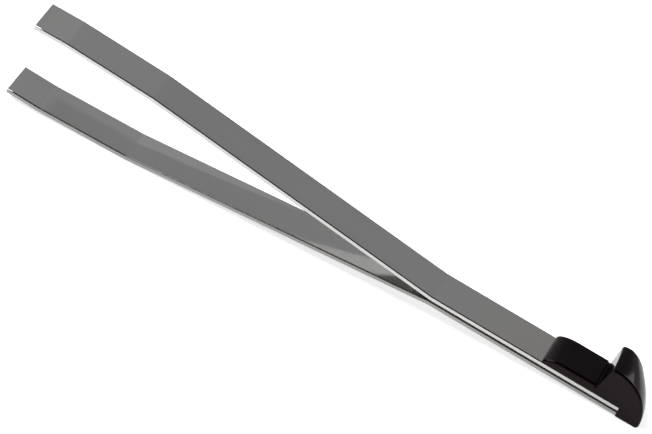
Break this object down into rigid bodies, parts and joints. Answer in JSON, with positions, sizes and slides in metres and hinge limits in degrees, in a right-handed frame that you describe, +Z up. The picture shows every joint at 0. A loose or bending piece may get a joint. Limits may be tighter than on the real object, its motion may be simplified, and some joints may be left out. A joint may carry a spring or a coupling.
{
  "type": "print tongs",
  "caption": "Darkroom print tongs: bent spring-steel strips joined at a moulded head whose hook hangs on the rim of a tray.",
  "frame": {"origin": "centre of the footprint on the surface the tongs lie on", "axes": "+X along the tongs towards the head, +Y across the strips, +Z up; the tongs lie on the lower arm's bend and on the head"},
  "size_m": [0.2076, 0.013, 0.0296],
  "materials": {
    "stainless_strip": "satin, bright cut edges",
    "rivet_steel": "satin",
    "black_moulding": "gloss"
  },
  "bodies": {
    "handle": {"head": "black_moulding", "upper_tang": "stainless_strip", "lower_tang": "stainless_strip", "rivet_rear": "rivet_steel", "rivet_front": "rivet_steel"},
    "upper_arm": {"upper_blade": "stainless_strip"},
    "lower_arm": {"lower_blade": "stainless_strip"}
  },
  "joints": [
    {"name": "upper_flex", "type": "hinge", "parent": "handle", "child": "upper_arm", "pos_m": [0.02683, 0, 0.00878], "axis": [0, -1, 0], "range_deg": [0, 5.34], "stiffness_Nm_per_rad": 12},
    {"name": "lower_flex", "type": "hinge", "parent": "handle", "child": "lower_arm", "pos_m": [0.02658, 0, 0.00506], "axis": [0, 1, 0], "range_deg": [0, 5.34], "stiffness_Nm_per_rad": 12}
  ]
}
